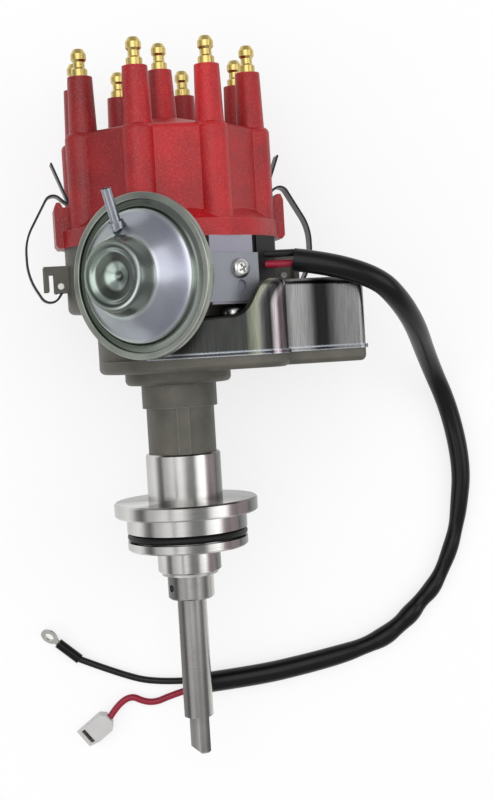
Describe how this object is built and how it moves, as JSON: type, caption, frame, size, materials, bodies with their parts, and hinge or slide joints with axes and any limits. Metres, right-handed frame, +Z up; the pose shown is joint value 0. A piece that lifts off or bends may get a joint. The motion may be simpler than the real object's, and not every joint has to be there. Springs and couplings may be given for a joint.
{
  "type": "ignition distributor",
  "caption": "Electronic ignition distributor with ribbed cap, spring clips, vacuum advance canister, cast housing, drive shaft and trailing two-wire lead.",
  "frame": {"origin": "on the shaft axis, at the face of the mounting collar that seats on the engine block", "axes": "+Y along the shaft from the drive tang towards the cap, +X to the side of the module cover, +Z up from the bench the distributor lies on"},
  "size_m": [0.2051, 0.3144, 0.1338],
  "materials": {
    "cast_aluminium": "as cast, satin",
    "machined_aluminium": "turned, bright",
    "shaft_steel": "ground",
    "chrome_cover": "polished, lightly brushed",
    "cap_red": "moulded, fine grain",
    "terminal_brass": "turned",
    "black_steel": "black, satin",
    "zinc_plate": "zinc plated",
    "black_rubber": "satin",
    "sleeve_black": "soft vinyl",
    "insulation_red": "vinyl",
    "insulation_black": "vinyl",
    "nylon_white": "natural nylon",
    "tinned_terminal": "tinned",
    "bush_bronze": "sintered",
    "plate_steel": "pressed",
    "moulded_black": "moulded",
    "carbon": "pressed carbon",
    "magnet_ferrite": "sintered"
  },
  "bodies": {
    "body": {"housing": "cast_aluminium", "mounting_collar": "machined_aluminium", "o_ring": "black_rubber", "thrust_washer": "plate_steel", "lower_bushing": "bush_bronze", "upper_bushing": "bush_bronze", "module_cover": "chrome_cover", "cover_screws": "zinc_plate", "ignition_module": "moulded_black", "module_screws": "zinc_plate", "distributor_cap": "cap_red", "spark_terminals": "terminal_brass", "coil_terminal": "terminal_brass", "carbon_brush": "carbon", "brush_spring": "shaft_steel", "base_plate": "plate_steel", "base_plate_screws": "zinc_plate", "canister_front_shell": "zinc_plate", "canister_rear_shell": "zinc_plate", "vacuum_nipple": "zinc_plate", "diaphragm": "black_rubber", "diaphragm_spring": "shaft_steel", "canister_bracket": "zinc_plate", "bracket_screw": "zinc_plate", "clip_pins": "shaft_steel", "grommet": "black_rubber", "red_lead": "insulation_red", "black_lead": "insulation_black", "wire_loom": "sleeve_black", "black_wire": "insulation_black", "red_wire": "insulation_red", "heat_shrink": "sleeve_black", "ring_terminal": "tinned_terminal", "connector_housing": "nylon_white", "spade_terminal": "tinned_terminal"},
    "shaft": {"drive_shaft": "shaft_steel", "shaft_collar": "shaft_steel", "roll_pin": "plate_steel", "weight_plate": "plate_steel", "weight_pins": "shaft_steel", "advance_springs": "shaft_steel"},
    "advance": {"advance_cam": "plate_steel", "reluctor": "plate_steel", "rotor": "moulded_black", "rotor_blade": "terminal_brass"},
    "weight_a": {"advance_weight_a": "plate_steel"},
    "weight_b": {"advance_weight_b": "plate_steel"},
    "pickup": {"pickup_plate": "plate_steel", "pickup_coil": "moulded_black", "pickup_magnet": "magnet_ferrite"},
    "link": {"vacuum_link": "plate_steel", "diaphragm_cup": "plate_steel"},
    "left_clip": {"clip_left": "black_steel"},
    "right_clip": {"clip_right": "black_steel"}
  },
  "joints": [
    {"name": "shaft_spin", "type": "hinge", "parent": "body", "child": "shaft", "pos_m": [0, 0, 0], "axis": [0, 1, 0], "continuous": true},
    {"name": "centrifugal_advance", "type": "hinge", "parent": "shaft", "child": "advance", "pos_m": [0, 0.1, 0], "axis": [0, 1, 0], "range_deg": [0, 10.5], "deforming": ["advance_springs"]},
    {"name": "weight_a_swing", "type": "hinge", "parent": "shaft", "child": "weight_a", "pos_m": [0.01204, 0.0904, -0.01338], "axis": [0, 1, 0], "range_deg": [0, 12]},
    {"name": "weight_b_swing", "type": "hinge", "parent": "shaft", "child": "weight_b", "pos_m": [-0.01204, 0.0904, 0.01338], "axis": [0, 1, 0], "range_deg": [0, 12]},
    {"name": "vacuum_advance", "type": "hinge", "parent": "body", "child": "pickup", "pos_m": [0, 0.1, 0], "axis": [0, -1, 0], "range_deg": [0, 10]},
    {"name": "link_slide", "type": "slide", "parent": "body", "child": "link", "axis": [-0.5736, 0, 0.8192], "range_m": [0, 0.00482], "deforming": ["diaphragm_spring", "diaphragm"]},
    {"name": "clip_left_hinge", "type": "hinge", "parent": "body", "child": "left_clip", "pos_m": [-0.04739, 0.1, 0.00624], "axis": [0.1305, 0, 0.9914], "range_deg": [0, 35]},
    {"name": "clip_right_hinge", "type": "hinge", "parent": "body", "child": "right_clip", "pos_m": [0.04739, 0.1, -0.00624], "axis": [-0.1305, 0, -0.9914], "range_deg": [0, 35]}
  ],
  "couplings": [
    {"joint": "weight_a_swing", "follows": "centrifugal_advance", "ratio": 1.1429},
    {"joint": "weight_b_swing", "follows": "centrifugal_advance", "ratio": 1.1429},
    {"joint": "link_slide", "follows": "vacuum_advance", "m_per_rad": 0.027616}
  ]
}
